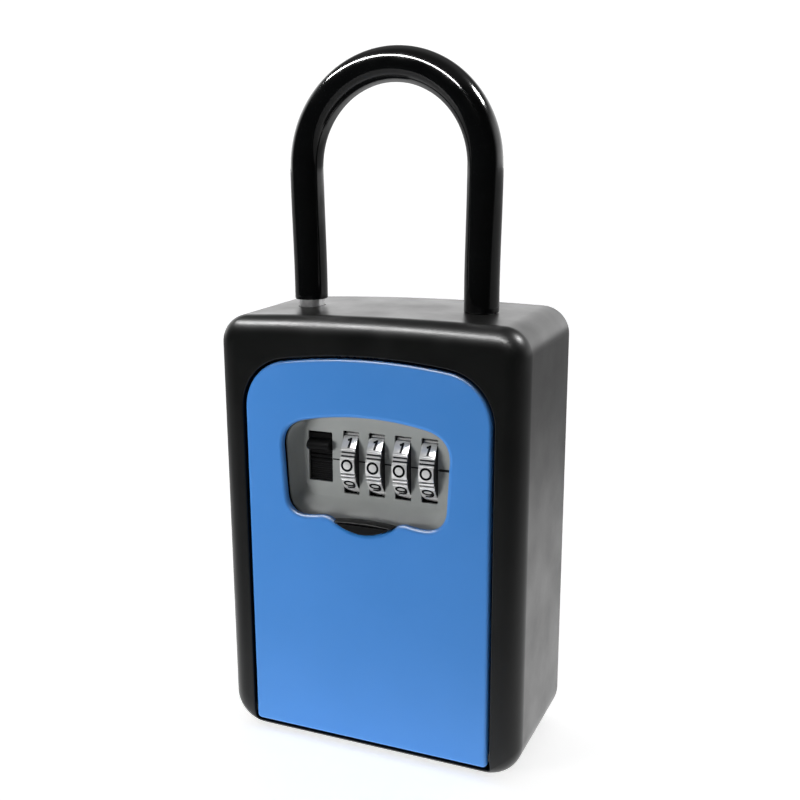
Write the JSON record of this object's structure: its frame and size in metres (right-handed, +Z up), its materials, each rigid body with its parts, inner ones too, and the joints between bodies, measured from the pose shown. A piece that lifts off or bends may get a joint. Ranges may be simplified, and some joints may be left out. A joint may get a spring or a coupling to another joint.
{
  "type": "combination key lock box",
  "caption": "Wall-free key safe: a die-cast case with a removable shackle and a bottom-hinged door carrying number dials, an opening slider and a weather shutter.",
  "frame": {"origin": "under the middle of the case, on the plane that the case stands on", "axes": "+Z up towards the shackle, -Y out of the door, +X to the right of someone facing the door"},
  "size_m": [0.084, 0.042, 0.1853],
  "materials": {
    "case_paint": "satin black powder coat",
    "door_paint": "satin blue powder coat",
    "black_plastic": "moulded black plastic",
    "grey_plastic": "moulded grey plastic",
    "vinyl": "glossy black vinyl sleeve",
    "chrome": "polished",
    "steel": "zinc-plated",
    "zinc": "bare die-casting",
    "brass": "turned"
  },
  "bodies": {
    "case": {"body_shell": "case_paint", "hinge_pin": "steel", "shackle_housing": "zinc", "strike_plate": "steel", "shackle_spring": "steel", "housing_screw_1": "steel", "housing_screw_2": "steel", "housing_screw_3": "steel", "housing_screw_4": "steel", "strike_screw_1": "steel", "strike_screw_2": "steel"},
    "shackle": {"shackle_bar": "chrome", "shackle_sleeve": "vinyl"},
    "shackle_catch": {"shackle_latch": "steel", "release_button": "black_plastic"},
    "door": {"door_panel": "door_paint", "door_chassis": "black_plastic", "dial_tray": "grey_plastic", "dial_cover": "black_plastic", "latch_cover": "black_plastic", "dial_axle": "steel", "detent_spring": "steel", "latch_spring": "steel", "chassis_screw_1": "steel", "chassis_screw_2": "steel", "chassis_screw_3": "steel", "chassis_screw_4": "steel", "dial_cover_screw_1": "steel", "dial_cover_screw_2": "steel", "dial_cover_screw_3": "steel", "dial_cover_screw_4": "steel", "latch_cover_screw_1": "steel", "latch_cover_screw_2": "steel"},
    "opener": {"open_slider": "black_plastic", "latch_plate": "steel", "latch_bolt": "zinc"},
    "shutter": {"shutter": "black_plastic"},
    "reset": {"reset_lever": "grey_plastic"},
    "wheel_1": {"dial_1": "chrome", "cam_1": "brass"},
    "wheel_2": {"dial_2": "chrome", "cam_2": "brass"},
    "wheel_3": {"dial_3": "chrome", "cam_3": "brass"},
    "wheel_4": {"dial_4": "chrome", "cam_4": "brass"}
  },
  "joints": [
    {"name": "door_hinge", "type": "hinge", "parent": "case", "child": "door", "pos_m": [0, -0.0185, 0.0055], "axis": [1, 0, 0], "range_deg": [0, 95]},
    {"name": "shackle_lift", "type": "slide", "parent": "case", "child": "shackle", "axis": [0, 0, 1], "range_m": [0, 0.025]},
    {"name": "shackle_release", "type": "slide", "parent": "case", "child": "shackle_catch", "axis": [1, 0, 0], "range_m": [0, 0.004], "stiffness_N_per_m": 300, "springref_m": -0.002, "deforming": ["shackle_spring"]},
    {"name": "slider_pull", "type": "slide", "parent": "door", "child": "opener", "axis": [0, 0, -1], "range_m": [0, 0.0045], "stiffness_N_per_m": 300, "springref_m": -0.003, "deforming": ["latch_spring"]},
    {"name": "shutter_slide", "type": "slide", "parent": "door", "child": "shutter", "axis": [0, 0, 1], "range_m": [0, 0.027]},
    {"name": "reset_slide", "type": "slide", "parent": "door", "child": "reset", "axis": [1, 0, 0], "range_m": [0, 0.004]},
    {"name": "dial_1_turn", "type": "hinge", "parent": "door", "child": "wheel_1", "pos_m": [-0.0061, -0.0076, 0.0802], "axis": [1, 0, 0], "continuous": true},
    {"name": "dial_2_turn", "type": "hinge", "parent": "door", "child": "wheel_2", "pos_m": [0.00118, -0.0076, 0.0802], "axis": [1, 0, 0], "continuous": true},
    {"name": "dial_3_turn", "type": "hinge", "parent": "door", "child": "wheel_3", "pos_m": [0.00846, -0.0076, 0.0802], "axis": [1, 0, 0], "continuous": true},
    {"name": "dial_4_turn", "type": "hinge", "parent": "door", "child": "wheel_4", "pos_m": [0.01574, -0.0076, 0.0802], "axis": [1, 0, 0], "continuous": true}
  ]
}
